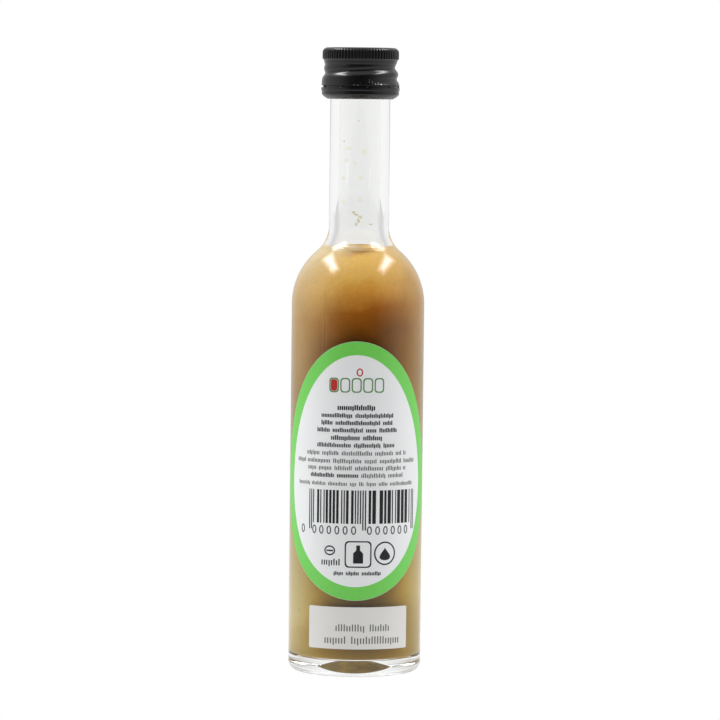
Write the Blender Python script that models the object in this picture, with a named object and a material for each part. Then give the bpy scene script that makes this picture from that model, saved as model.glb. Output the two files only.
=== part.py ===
"""A 50 ml hot sauce bottle: clear glass, sauce, black screw cap with its tamper band, and three paper labels.

The bottle stands on the plane z = 0 with its axis on Z. The back label faces -Y and the front label faces +Y.
Every size is a real one in metres, written as a number of millimetres times MM.
"""

from math import atan2, cos, degrees, exp, hypot, pi, radians, sin, sqrt

import bmesh
import bpy
from mathutils import Vector

MM = 0.001
# Room left between two solids that touch on the real object
GAP = 0.3 * MM

# Bottle, outside
BODY_RADIUS = 15.5 * MM
SHOULDER_START = 86.1 * MM
SHOULDER_RADIUS = 16.4 * MM
NECK_RADIUS = 7.0 * MM
NECK_FILLET = 7.6 * MM
HEEL_RADIUS = 2.5 * MM
BEARING_WIDTH = 1.6 * MM
PUNT_HEIGHT = 3.4 * MM
PUNT_POWER = 2.5
LIP_ROUND = 0.6 * MM

# Bottle, inside
WALL = 2.1 * MM
FLOOR_HEIGHT = 3.7 * MM
FLOOR_DOME = 1.6 * MM
FLOOR_CORNER = 2.4 * MM

# Sauce
SAUCE_LEVEL = 98.1 * MM
MENISCUS_RISE = 0.9 * MM
MENISCUS_WIDTH = 3.2 * MM

# Cap, with heights measured up from its lower edge
TOTAL_HEIGHT = 146.0 * MM
CAP_HEIGHT = 12.0 * MM
CAP_BORE = 7.35 * MM
CAP_TOP_THICKNESS = 0.8 * MM
CAP_TOP_ROUND = 1.2 * MM
KNURL_RADIUS = 8.9 * MM
KNURL_DEPTH = 0.22 * MM
KNURL_COUNT = 72
KNURL_LOW, KNURL_HIGH = 9.15 * MM, 11.2 * MM
KNURL_SLOPE = 0.35 * MM
KNURL_ROOT = 0.4 * MM
WAIST_RADIUS = 8.4 * MM
WAIST_LOW, WAIST_HIGH = 7.9 * MM, 8.7 * MM
SKIRT_RADIUS = 9.05 * MM
SKIRT_LOW = 3.25 * MM
SLIT_HEIGHT = 2.95 * MM
SLIT_DEPTH = 0.3 * MM
SLIT_WIDTH = 0.4 * MM
SLIT_TAPER = 0.07 * MM
BAND_RADIUS = 9.15 * MM
BAND_BULGE = 2.1 * MM
BAND_LIP = 0.1 * MM

# Thread rolled into the cap's skirt
THREAD_PITCH = 2.58 * MM
THREAD_DEPTH = 0.52 * MM
THREAD_HALF_WIDTH = 0.72 * MM
THREAD_HEIGHT_AT_X = 7.25 * MM
THREAD_FIRST, THREAD_LAST = radians(75), radians(-440)
THREAD_FADE = radians(50)

# Paper labels
PAPER = 0.2 * MM
OVAL_MIDDLE = 48.1 * MM
OVAL_HALF_HEIGHT = 30.05 * MM
OVAL_HALF_WIDTH = 21.3 * MM
OVAL_LEAN = 2.4 * MM
OVAL_PINCH = 1.5 * MM
OVAL_FLARE = 1.1 * MM
LOT_MIDDLE = 11.6 * MM
LOT_WIDTH, LOT_HEIGHT = 25.0 * MM, 9.8 * MM
LOT_TURN = radians(3.9)

BACK, FRONT = radians(-90), radians(90)

ROUND_STEPS = 48
CAP_STEPS = 60
SKIRT_ROWS = 12
OVAL_ROWS, OVAL_COLUMNS = 14, 10
LOT_COLUMNS = 8
# What counts as one point where a turned shape meets its axis
WELD = 0.001 * MM


def material(name, colour, roughness, metallic=0.0, transmission=0.0):
    made = bpy.data.materials.new(name)
    made.use_nodes = True
    shader = made.node_tree.nodes["Principled BSDF"]
    shader.inputs["Base Color"].default_value = (*colour, 1.0)
    shader.inputs["Roughness"].default_value = roughness
    shader.inputs["Metallic"].default_value = metallic
    shader.inputs["Transmission Weight"].default_value = transmission
    return made


def add_object(name, shape, finish):
    """A bmesh becomes a named object, shaded smooth except over sharp edges."""
    mesh = bpy.data.meshes.new(name)
    shape.to_mesh(mesh)
    shape.free()
    mesh.materials.append(finish)
    mesh.shade_smooth()
    mesh.set_sharp_from_angle(angle=radians(35))
    made = bpy.data.objects.new(name, mesh)
    bpy.context.scene.collection.objects.link(made)
    return made


def arc(centre, radius, start, end, pieces):
    """Points (r, z) along an arc, from the angle start to the angle end in degrees, both ends included."""
    turns = [radians(start + (end - start) * i / pieces) for i in range(pieces + 1)]
    return [(centre[0] + radius * cos(t), centre[1] + radius * sin(t)) for t in turns]


def turned(outline, steps):
    """An outline of (r, z) points that starts and ends on the axis, or closes on itself, spun round Z."""
    shape = bmesh.new()
    points = [shape.verts.new((r, 0.0, z)) for r, z in outline]
    edges = [shape.edges.new(pair) for pair in zip(points, points[1:])]
    if outline[0][0] > 0.0:
        edges.append(shape.edges.new((points[-1], points[0])))
    bmesh.ops.spin(shape, geom=points + edges, cent=(0, 0, 0), axis=(0, 0, 1), angle=2 * pi, steps=steps)
    bmesh.ops.remove_doubles(shape, verts=shape.verts, dist=WELD)
    bmesh.ops.dissolve_degenerate(shape, edges=shape.edges, dist=WELD)
    bmesh.ops.recalc_face_normals(shape, faces=shape.faces)
    return shape


def neck_fillet_centre():
    """The centre of the hollow arc into the neck, which touches the neck's wall and the shoulder's arc."""
    shoulder_centre = BODY_RADIUS - SHOULDER_RADIUS
    r = NECK_RADIUS + NECK_FILLET
    rise = sqrt((SHOULDER_RADIUS + NECK_FILLET) ** 2 - (r - shoulder_centre) ** 2)
    return r, SHOULDER_START + rise


def side_outline(inset):
    """The side from the top of the straight wall to the neck, moved in by inset, as (r, z) points."""
    shoulder_centre = (BODY_RADIUS - SHOULDER_RADIUS, SHOULDER_START)
    fillet_centre = neck_fillet_centre()
    across = fillet_centre[0] - shoulder_centre[0]
    up = fillet_centre[1] - shoulder_centre[1]
    meeting = degrees(atan2(up, across))
    shoulder = arc(shoulder_centre, SHOULDER_RADIUS - inset, 0, meeting, 8)
    fillet = arc(fillet_centre, NECK_FILLET + inset, meeting - 180, -180, 6)
    return shoulder + fillet[1:]


def glass_outline():
    """Up the outside of the bottle from the middle of its base, over the lip and down the inside."""
    bearing_outer = BODY_RADIUS - HEEL_RADIUS
    bearing_inner = bearing_outer - BEARING_WIDTH
    punt = [(bearing_inner * i / 7, PUNT_HEIGHT * (1 - (i / 7) ** 2) ** PUNT_POWER) for i in range(8)]
    heel = arc((bearing_outer, HEEL_RADIUS), HEEL_RADIUS, -90, 0, 4)
    lip_top = TOTAL_HEIGHT - CAP_TOP_THICKNESS - GAP
    bore = NECK_RADIUS - WALL
    lip = arc((NECK_RADIUS - LIP_ROUND, lip_top - LIP_ROUND), LIP_ROUND, 0, 90, 2)
    lip += arc((bore + LIP_ROUND, lip_top - LIP_ROUND), LIP_ROUND, 90, 180, 2)
    return punt + heel + side_outline(0) + lip + inside_outline(0)


def inside_outline(inset):
    """Down the inside of the bottle from the neck to the middle of the floor, moved in by inset."""
    corner = FLOOR_CORNER - inset
    wall_radius = BODY_RADIUS - WALL - inset
    corner_centre = (wall_radius - corner, FLOOR_HEIGHT + inset + corner)
    floor_edge = corner_centre[0]
    corner_arc = arc(corner_centre, corner, 0, -90, 3)
    floor = [(floor_edge * (1 - i / 3), FLOOR_DOME * (1 - (1 - i / 3) ** 2)) for i in range(4)]
    floor = [(r, z + FLOOR_HEIGHT + inset) for r, z in floor]
    return side_outline(WALL + inset)[::-1] + corner_arc + floor[1:]


def wall_at(outline, height):
    """The radius of an outline at a height, by a straight line between the points on each side."""
    for (r0, z0), (r1, z1) in zip(outline, outline[1:]):
        if z1 <= height <= z0:
            return r1 + (r0 - r1) * (height - z1) / (z0 - z1)
    raise ValueError("the outline doesn't reach this height")


def sauce_outline():
    """The sauce up to its level, with the edge that climbs the glass, as the bottle's inside less a gap."""
    room = inside_outline(GAP)
    edge_height = SAUCE_LEVEL + MENISCUS_RISE
    edge = (wall_at(room, edge_height), edge_height)
    below = [p for p in room if p[1] < edge_height - GAP]
    shares = (0.15, 0.4, 0.7, 1.0)
    climb = [(edge[0] - MENISCUS_WIDTH * s, SAUCE_LEVEL + MENISCUS_RISE * (1 - s) ** 3) for s in shares]
    return [(0.0, SAUCE_LEVEL)] + climb[::-1] + [edge] + below


def cap_outline():
    """The cap's shell without knurls or thread: from the top's middle over the skirt and back up the bore."""
    foot = TOTAL_HEIGHT - CAP_HEIGHT
    top_round = arc((WAIST_RADIUS - CAP_TOP_ROUND, TOTAL_HEIGHT - CAP_TOP_ROUND), CAP_TOP_ROUND, 90, 0, 4)
    waist = (WAIST_RADIUS, foot + WAIST_HIGH)
    skirt = []
    for i in range(SKIRT_ROWS + 1):
        share = i / SKIRT_ROWS
        flare = (SKIRT_RADIUS - WAIST_RADIUS) * sin(share * pi / 2)
        skirt.append((WAIST_RADIUS + flare, foot + WAIST_LOW + (SKIRT_LOW - WAIST_LOW) * share))
    slit_top = foot + SLIT_HEIGHT + SLIT_WIDTH / 2
    slit_floor = SKIRT_RADIUS - SLIT_DEPTH
    slit = [
        (SKIRT_RADIUS - SLIT_TAPER, slit_top),
        (slit_floor, slit_top - SLIT_TAPER),
        (slit_floor, slit_top - SLIT_WIDTH + SLIT_TAPER),
    ]
    lip_radius = CAP_BORE + BAND_LIP
    band = [(BAND_RADIUS - SLIT_TAPER, slit_top - SLIT_WIDTH)]
    for share in (1.0, 0.75, 0.5, 0.25, 0.0):
        bulge = (BAND_RADIUS - lip_radius) * sin(share * pi / 2)
        band.append((lip_radius + bulge, foot + BAND_BULGE * share))
    band.append((CAP_BORE, foot + BAND_LIP))
    ceiling = TOTAL_HEIGHT - CAP_TOP_THICKNESS
    bore = [(CAP_BORE, ceiling), (0.0, ceiling)]
    return [(0.0, TOTAL_HEIGHT)] + top_round + [waist] + skirt + slit + band + bore


def thread_depth(angle, height):
    """How far the rolled thread sinks the skirt in, at an angle in radians from +X and a height.

    The groove falls by one pitch for each clockwise turn seen from above, and fades out at both ends.
    """
    foot = TOTAL_HEIGHT - CAP_HEIGHT
    deepest = 0.0
    for turn in (-1, 0, 1):
        along = angle - 2 * pi * turn
        if not THREAD_LAST < along < THREAD_FIRST:
            continue
        centre = foot + THREAD_HEIGHT_AT_X + THREAD_PITCH * along / (2 * pi)
        fade = min(1.0, (THREAD_FIRST - along) / THREAD_FADE, (along - THREAD_LAST) / THREAD_FADE)
        depth = THREAD_DEPTH * fade * exp(-(((height - centre) / THREAD_HALF_WIDTH) ** 2))
        deepest = max(deepest, depth)
    return deepest


def roll_thread(shape):
    """Presses the thread's groove into the outer points of the cap's skirt."""
    foot = TOTAL_HEIGHT - CAP_HEIGHT
    lowest, highest = foot + SKIRT_LOW, foot + KNURL_LOW
    for vert in shape.verts:
        radius = hypot(vert.co.x, vert.co.y)
        if radius < WAIST_RADIUS - WELD or not lowest < vert.co.z < highest:
            continue
        depth = thread_depth(atan2(vert.co.y, vert.co.x), vert.co.z)
        vert.co.x *= (radius - depth) / radius
        vert.co.y *= (radius - depth) / radius


def knurl_ring(finish):
    """The grip's ring of upright ribs, which reaches into the cap's shell so that a union joins them."""
    foot = TOTAL_HEIGHT - CAP_HEIGHT
    inner = WAIST_RADIUS - KNURL_ROOT
    low, high = foot + KNURL_LOW, foot + KNURL_HIGH
    outline = [
        (inner, low - KNURL_SLOPE),
        (WAIST_RADIUS, low - KNURL_SLOPE),
        (KNURL_RADIUS, low),
        (KNURL_RADIUS, high - KNURL_SLOPE),
        (KNURL_RADIUS - KNURL_SLOPE, high),
        (inner, high),
    ]
    shape = turned(outline, 2 * KNURL_COUNT)
    for vert in shape.verts:
        radius = hypot(vert.co.x, vert.co.y)
        column = round(atan2(vert.co.y, vert.co.x) / (pi / KNURL_COUNT))
        if radius > WAIST_RADIUS and column % 2:
            vert.co.x *= (radius - KNURL_DEPTH) / radius
            vert.co.y *= (radius - KNURL_DEPTH) / radius
    return add_object("knurl_ring", shape, finish)


def join_into(target, piece):
    """Boolean union of a piece into the target, applied, with the piece then removed."""
    union = target.modifiers.new("union", "BOOLEAN")
    union.operation = "UNION"
    union.object = piece
    graph = bpy.context.evaluated_depsgraph_get()
    joined = bpy.data.meshes.new_from_object(target.evaluated_get(graph))
    target.modifiers.clear()
    target.data = joined
    target.data.name = target.name
    bpy.data.objects.remove(piece)


def oval_half_width(share):
    """Half the oval label's width at a height share from -1 (foot) to 1 (top): an egg, slimmer above."""
    egg = OVAL_HALF_WIDTH - OVAL_LEAN * share - OVAL_PINCH * share**2 + OVAL_FLARE * share**3
    return sqrt(max(0.0, 1 - share**2)) * egg


def on_bottle(across, height, radius, facing):
    """The point on a cylinder where paper laid round it has a place across millimetres from its middle."""
    angle = facing + across / BODY_RADIUS
    return Vector((radius * cos(angle), radius * sin(angle), height))


def add_label(name, rows, facing, finish):
    """A paper label round the bottle, from rows of (across, height) places. A row of one place is a tip."""
    shape = bmesh.new()
    radius = BODY_RADIUS + GAP
    grid = [[shape.verts.new(on_bottle(x, z, radius, facing)) for x, z in row] for row in rows]
    for low, high in zip(grid, grid[1:]):
        for i in range(max(len(low), len(high)) - 1):
            corners = [low[min(i, len(low) - 1)], low[min(i + 1, len(low) - 1)]]
            corners += [high[min(i + 1, len(high) - 1)], high[min(i, len(high) - 1)]]
            shape.faces.new(list(dict.fromkeys(corners)))
    made = add_object(name, shape, finish)
    thickness = made.modifiers.new("paper", "SOLIDIFY")
    thickness.thickness = PAPER
    thickness.offset = 1.0
    return made


def oval_rows():
    """Rows of places over the egg shape, closer together towards its two tips."""
    rows = []
    for i in range(OVAL_ROWS + 1):
        share = -cos(pi * i / OVAL_ROWS)
        height = OVAL_MIDDLE + OVAL_HALF_HEIGHT * share
        if i in (0, OVAL_ROWS):
            rows.append([(0.0, height)])
            continue
        half = oval_half_width(share)
        rows.append([(half * (2 * j / OVAL_COLUMNS - 1), height) for j in range(OVAL_COLUMNS + 1)])
    return rows


def lot_rows():
    """Two rows of places, along the foot and the top of the small upright sticker."""
    shares = [j / LOT_COLUMNS - 0.5 for j in range(LOT_COLUMNS + 1)]
    heights = (LOT_MIDDLE - LOT_HEIGHT / 2, LOT_MIDDLE + LOT_HEIGHT / 2)
    return [[(LOT_WIDTH * s, z) for s in shares] for z in heights]


def main():
    for old in list(bpy.data.objects):
        bpy.data.objects.remove(old)
    glass = material("clear_glass", (0.93, 0.95, 0.94), 0.03, transmission=1.0)
    sauce = material("chilli_sauce", (0.55, 0.33, 0.11), 0.35)
    black = material("black_lacquer", (0.012, 0.012, 0.013), 0.28, metallic=0.2)
    paper = material("label_paper", (0.82, 0.82, 0.82), 0.55)

    add_object("glass", turned(glass_outline(), ROUND_STEPS), glass)
    add_object("sauce", turned(sauce_outline(), ROUND_STEPS), sauce)

    shell = turned(cap_outline(), CAP_STEPS)
    roll_thread(shell)
    cap = add_object("cap", shell, black)
    join_into(cap, knurl_ring(black))

    add_label("back_label", oval_rows(), BACK, paper)
    add_label("front_label", oval_rows(), FRONT, paper)
    add_label("lot_label", lot_rows(), BACK + LOT_TURN, paper)


main()
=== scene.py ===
# %% [markdown]
# # A small bottle of hot sauce
#
# This lesson dresses a finished construction model of a long-necked glass bottle. The model fixes every
# size. Here each piece is worked out again as a fine surface with numpy, laid exactly where the model has
# it, and given a material made of nodes. The bottle stands on z = 0 with its axis on Z, and the label with
# the small print faces -Y.

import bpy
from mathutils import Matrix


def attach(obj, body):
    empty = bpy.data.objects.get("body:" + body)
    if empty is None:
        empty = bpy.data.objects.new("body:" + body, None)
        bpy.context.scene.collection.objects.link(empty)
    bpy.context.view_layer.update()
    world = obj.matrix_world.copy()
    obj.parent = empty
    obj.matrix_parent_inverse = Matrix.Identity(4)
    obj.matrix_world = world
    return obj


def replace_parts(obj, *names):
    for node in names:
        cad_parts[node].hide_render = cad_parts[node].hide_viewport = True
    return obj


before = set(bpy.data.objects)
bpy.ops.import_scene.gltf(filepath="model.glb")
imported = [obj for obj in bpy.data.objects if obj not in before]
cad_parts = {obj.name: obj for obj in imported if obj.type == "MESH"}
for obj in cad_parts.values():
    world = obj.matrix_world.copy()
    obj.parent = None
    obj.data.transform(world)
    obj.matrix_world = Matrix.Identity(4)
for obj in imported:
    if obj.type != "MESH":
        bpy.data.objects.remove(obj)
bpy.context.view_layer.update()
print("construction pieces:", ", ".join(sorted(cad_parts)))

# %% Tools and units
from functools import partial
from math import atan2, degrees, pi, radians, sqrt

import bpy
import numpy as np
from mathutils import Matrix, Vector

MM = 0.001
BACK, FRONT = -pi / 2, pi / 2

# %% [markdown]
# ## From arrays to a mesh
#
# A turned bottle could be made with the Screw modifier. Arrays are more direct: every point is a formula of
# two numbers, and the whole surface reaches Blender in one call. Each piece is a closed shell, so the
# volume that its faces enclose has a sign. If that sign is negative the faces point inwards, and all of
# them are flipped.

# %% Mesh builder
def enclosed_volume(points, faces):
    """The sum over all faces, cut into fans of triangles a, b, c, of a . (b x c) / 6."""
    total = 0.0
    for block in faces:
        for k in range(1, block.shape[1] - 1):
            a, b, c = points[block[:, 0]], points[block[:, k]], points[block[:, k + 1]]
            total += np.einsum("ij,ij->", a, np.cross(b, c)) / 6.0
    return total


def add_piece(name, points, faces, finish, slot, sharp=50):
    """A point array in metres and arrays of face corners become a named piece that rides with the bottle."""
    volume = enclosed_volume(points, faces)
    if volume < 0:
        faces = [block[:, ::-1] for block in faces]
    corners = np.concatenate([block.ravel() for block in faces])
    sizes = np.concatenate([np.full(len(block), block.shape[1]) for block in faces])
    mesh = bpy.data.meshes.new(name)
    mesh.vertices.add(len(points))
    mesh.vertices.foreach_set("co", points.astype(np.float32).ravel())
    mesh.loops.add(len(corners))
    mesh.loops.foreach_set("vertex_index", corners.astype(np.int32))
    mesh.polygons.add(len(sizes))
    mesh.polygons.foreach_set("loop_start", (np.cumsum(sizes) - sizes).astype(np.int32))
    mesh.update(calc_edges=True)
    mesh.validate()
    mesh.shade_smooth()
    mesh.set_sharp_from_angle(angle=radians(sharp))
    mesh.materials.append(finish)
    piece = bpy.data.objects.new(name, mesh)
    bpy.context.scene.collection.objects.link(piece)
    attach(piece, "root")
    print(f"{name}: {len(sizes)} faces, {abs(volume) / MM**3:.2f} cubic mm")
    return piece


def grid_faces(rows, columns, wrap=False, first=0):
    """Corner numbers of the four-sided faces of a grid whose rows hold consecutive points."""
    index = first + np.arange(rows * columns).reshape(rows, columns)
    if wrap:
        index = np.column_stack([index, index[:, :1]])
    corners = [index[:-1, :-1], index[:-1, 1:], index[1:, 1:], index[1:, :-1]]
    return np.stack(corners, axis=-1).reshape(-1, 4)

# %% Turned shapes
def arc(centre, radius, start, end, count):
    """Points (r, z) at centre + radius * (cos, sin) of count angles from start to end in degrees."""
    turn = np.radians(np.linspace(start, end, count))
    return np.column_stack([centre[0] + radius * np.cos(turn), centre[1] + radius * np.sin(turn)])


def full_turn(count):
    """That many equal steps round a circle."""
    return np.arange(count) * 2 * pi / count


def spin(profile, angle):
    """Rings of points: row i holds (r_i cos a, r_i sin a, z_i) at the given angles a."""
    r, z = profile[:, :1], profile[:, 1:]
    return np.stack([r * np.cos(angle), r * np.sin(angle), z + 0 * angle], axis=-1)


def shell_faces(rows, columns):
    """The sides of a stack of rings, and a fan at each end to one of two points that come last."""
    here = np.arange(columns)
    ahead = (here + 1) % columns
    pole = np.full(columns, rows * columns)
    top = (rows - 1) * columns
    fans = [np.column_stack([pole, ahead, here]), np.column_stack([top + here, top + ahead, pole + 1])]
    return [grid_faces(rows, columns, wrap=True), np.concatenate(fans)]


def close_ends(rings, heights):
    """A stack of rings, shut by a fan to one point on the axis at each end, at the two heights."""
    poles = [(0.0, 0.0, height) for height in heights]
    return np.concatenate([rings.reshape(-1, 3), poles]), shell_faces(*rings.shape[:2])


def turned(profile, columns):
    """A profile of (r, z) points whose two ends lie on the axis, spun round Z into a closed shell."""
    return close_ends(spin(profile[1:-1], full_turn(columns)), profile[[0, -1], 1])

# %% [markdown]
# ## Node helpers
#
# A material is a small program. These helpers add a node and fill or link its inputs in the same line. Two
# effects are used by several materials, so each is a node group with named inputs: soft unevenness, and
# scattered specks.

# %% Node helpers
def fill(tree, node, inputs):
    """Give each named or numbered input of a node a value or a link."""
    for key, value in inputs.items():
        if isinstance(value, bpy.types.NodeSocket):
            tree.links.new(value, node.inputs[key])
        else:
            node.inputs[key].default_value = value
    return node


def put(tree, kind, inputs=None, **settings):
    """Add a node, set its settings and fill its inputs."""
    made = tree.nodes.new(kind)
    for key, value in settings.items():
        setattr(made, key, value)
    return fill(tree, made, inputs or {})


def maths(tree, operation, first, second=0.0, clamp=False, third=0.0):
    """One Math node, handing back its result."""
    numbers = {0: first, 1: second, 2: third}
    return put(tree, "ShaderNodeMath", numbers, operation=operation, use_clamp=clamp).outputs[0]


def fit_range(tree, value, low, high, at_low=0.0, at_high=1.0):
    """One Map Range node: at_low where the value is low or less, at_high where it is high or more."""
    numbers = {0: value, 1: low, 2: high, 3: at_low, 4: at_high}
    return put(tree, "ShaderNodeMapRange", numbers).outputs[0]


def blend_colour(tree, share, low, high, kind="MIX"):
    """One Mix node on colours: low where the share is 0 and, for a plain mix, high where it is 1."""
    made = put(tree, "ShaderNodeMix", {0: share, 6: low, 7: high}, data_type="RGBA", blend_type=kind)
    return made.outputs[2]


def ramp(tree, share, stops):
    """A colour ramp with stops of (position, colour)."""
    made = put(tree, "ShaderNodeValToRGB", {0: share})
    elements = made.color_ramp.elements
    while len(elements) < len(stops):
        elements.new(0.5)
    for element, (position, colour) in zip(elements, stops):
        element.position = position
        element.color = colour
    return made.outputs[0]


def bumped(tree, height, strength, distance):
    """The surface's direction once a value has raised it by up to a distance."""
    bump = put(tree, "ShaderNodeBump", {"Height": height, "Strength": strength, "Distance": distance})
    return bump.outputs[0]


def mix_surface(tree, share, low, high):
    """The material shows one shader where the share is 0 and another where it is 1."""
    mixed = put(tree, "ShaderNodeMixShader", {0: share, 1: low.outputs[0], 2: high.outputs[0]})
    fill(tree, tree.nodes["Material Output"], {"Surface": mixed.outputs[0]})


def grey(level):
    """A grey with that much of white's light."""
    return (level, level, level, 1.0)


def srgb(red, green, blue):
    """A screen colour from 0 to 255 as light: c / 12.92 when dark, else ((c + 0.055) / 1.055) ** 2.4."""
    share = np.array([red, green, blue]) / 255.0
    linear = np.where(share < 0.04045, share / 12.92, ((share + 0.055) / 1.055) ** 2.4)
    return (*[float(v) for v in linear], 1.0)


def new_material(name):
    """A material with its node tree, its Principled shader and the object's own coordinates."""
    made = bpy.data.materials.new(name)
    made.use_nodes = True
    tree = made.node_tree
    place = put(tree, "ShaderNodeTexCoord").outputs["Object"]
    return made, tree, tree.nodes["Principled BSDF"], place

# %% Shared effects
def effect_group(name, numbers):
    """An empty node group with a Vector input, number inputs with their usual values, and a Value output."""
    group = bpy.data.node_groups.new(name, "ShaderNodeTree")
    group.interface.new_socket("Vector", in_out="INPUT", socket_type="NodeSocketVector")
    for label, usual in numbers.items():
        socket = group.interface.new_socket(label, in_out="INPUT", socket_type="NodeSocketFloat")
        socket.default_value = usual
    group.interface.new_socket("Value", in_out="OUTPUT", socket_type="NodeSocketFloat")
    return group, group.nodes.new("NodeGroupInput").outputs, group.nodes.new("NodeGroupOutput").inputs


uneven, given, result = effect_group("unevenness", {"Scale": 200.0, "Low": 0.0, "High": 1.0})
cloud = put(uneven, "ShaderNodeTexNoise", {"Vector": given["Vector"], "Scale": given["Scale"], "Detail": 3.0})
spread = fit_range(uneven, cloud.outputs["Fac"], 0.3, 0.7, given["Low"], given["High"])
uneven.links.new(spread, result["Value"])

specks, given, result = effect_group("specks", {"Scale": 500.0, "Size": 0.2, "Share": 0.3})
cells = put(specks, "ShaderNodeTexVoronoi", {"Vector": given["Vector"], "Scale": given["Scale"]})
near = maths(specks, "LESS_THAN", cells.outputs["Distance"], given["Size"])
chance = put(specks, "ShaderNodeSeparateColor", {0: cells.outputs["Color"]}).outputs[0]
picked = maths(specks, "LESS_THAN", chance, given["Share"])
specks.links.new(maths(specks, "MULTIPLY", near, picked), result["Value"])


def use(tree, group, place, **numbers):
    """Put a shared effect into a material and hand back its value."""
    return put(tree, "ShaderNodeGroup", {"Vector": place, **numbers}, node_tree=group).outputs["Value"]

# %% [markdown]
# ## Glass
#
# The outline runs up the outside from the middle of the base: a bell-shaped push-up, the ring that the
# bottle stands on, the heel, a straight wall, the round shoulder and the hollow sweep into the neck. Over
# the lip it goes down the inside with the same arcs moved in by the wall, to a slightly domed floor. Two
# arcs that touch meet on the line between their centres.

# %% Sizes of the glass
BODY_RADIUS, WALL = 15.5 * MM, 2.1 * MM
SHOULDER_START, SHOULDER_RADIUS = 86.1 * MM, 16.4 * MM
NECK_RADIUS, NECK_FILLET = 7.0 * MM, 7.6 * MM
HEEL_RADIUS, BEARING_WIDTH = 2.5 * MM, 1.6 * MM
PUNT_HEIGHT, PUNT_POWER = 3.4 * MM, 2.5
LIP_TOP, LIP_ROUND = 144.9 * MM, 0.6 * MM
FLOOR_HEIGHT, FLOOR_DOME, FLOOR_CORNER = 3.7 * MM, 1.6 * MM, 2.4 * MM

shoulder_centre = (BODY_RADIUS - SHOULDER_RADIUS, SHOULDER_START)
fillet_across = NECK_RADIUS + NECK_FILLET - shoulder_centre[0]
fillet_up = sqrt((SHOULDER_RADIUS + NECK_FILLET) ** 2 - fillet_across**2)
fillet_centre = (NECK_RADIUS + NECK_FILLET, SHOULDER_START + fillet_up)
meeting = degrees(atan2(fillet_up, fillet_across))
print(f"shoulder and neck arcs meet at {meeting:.1f} degrees")

# %% Outlines of the glass
def side_outline(inset):
    """From the top of the straight wall to the neck, moved in by inset: the shoulder arc, then the hollow."""
    shoulder = arc(shoulder_centre, SHOULDER_RADIUS - inset, 0, meeting, 36)
    hollow = arc(fillet_centre, NECK_FILLET + inset, meeting - 180, -180, 24)
    return np.concatenate([shoulder, hollow[1:]])


def inside_outline(inset):
    """Down the inside from the neck to the floor, whose height is dome * (1 - (r / edge) ** 2)."""
    corner = FLOOR_CORNER - inset
    edge = BODY_RADIUS - WALL - inset - corner
    radius = np.linspace(edge, 0, 14)
    floor = np.column_stack([radius, FLOOR_HEIGHT + inset + FLOOR_DOME * (1 - (radius / edge) ** 2)])
    rounding = arc((edge, FLOOR_HEIGHT + inset + corner), corner, 0, -90, 12)
    return np.concatenate([side_outline(WALL + inset)[::-1], rounding, floor[1:]])


def glass_outline():
    """Up the outside from the push-up, height * (1 - (r / edge) ** 2) ** power, and down the inside."""
    bearing = BODY_RADIUS - HEEL_RADIUS
    bore = NECK_RADIUS - WALL
    radius = np.linspace(0, bearing - BEARING_WIDTH, 14)
    punt = np.column_stack([radius, PUNT_HEIGHT * (1 - (radius / radius[-1]) ** 2) ** PUNT_POWER])
    heel = arc((bearing, HEEL_RADIUS), HEEL_RADIUS, -90, 0, 14)
    lip = arc((NECK_RADIUS - LIP_ROUND, LIP_TOP - LIP_ROUND), LIP_ROUND, 0, 90, 7)
    inner_lip = arc((bore + LIP_ROUND, LIP_TOP - LIP_ROUND), LIP_ROUND, 90, 180, 7)
    return np.concatenate([punt, heel, side_outline(0), lip, inner_lip, inside_outline(0)])

# %% [markdown]
# Clear glass bends light at every wall, which a renderer can only follow along camera rays. Lamps would
# leave what stands behind the glass in the dark, so shadow rays and soft bounced light pass straight
# through it instead. So does a ray that the wall has caught and thrown to and fro several times, or it
# would end up black.
#
# The mould was made in two halves, and where they met the glass keeps a hair-thin ridge down each side.

# %% Glass material and piece
CAUGHT_AFTER = 5
GLASS_IOR = 1.51
SEAM_TURN, SEAM_HALF_WIDTH, SEAM_HEIGHT = radians(-31), radians(1.1), 0.07 * MM


def seamed(profile, columns):
    """The glass with points added at its seams, the radius there larger by height * (1 - away / width)."""
    seams = BACK + SEAM_TURN + np.array([0.0, pi])
    extra = (seams[:, None] + SEAM_HALF_WIDTH * np.array([-1, -0.5, 0, 0.5, 1])).ravel() % (2 * pi)
    angle = np.sort(np.concatenate([full_turn(columns), extra]))
    away = np.abs(np.angle(np.exp(1j * (angle[:, None] - seams)))).min(axis=1)
    ridge = SEAM_HEIGHT * np.clip(1 - away / SEAM_HALF_WIDTH, 0, 1)
    rings = spin(profile[1:-1], angle)
    r, z = profile[1:-1, :1], profile[1:-1, 1:]
    going_up = np.arange(len(r))[:, None] < len(r) // 2
    outside = going_up * (z > HEEL_RADIUS) * (r > NECK_RADIUS - 0.01 * MM)
    outside = outside * (r > np.interp(z, [SHOULDER_START, LIP_TOP], [BODY_RADIUS - 0.1 * MM, 0.0]))
    rings[..., :2] *= 1 + (outside * ridge / np.maximum(r, MM))[..., None]
    return close_ends(rings, profile[[0, -1], 1])


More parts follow.
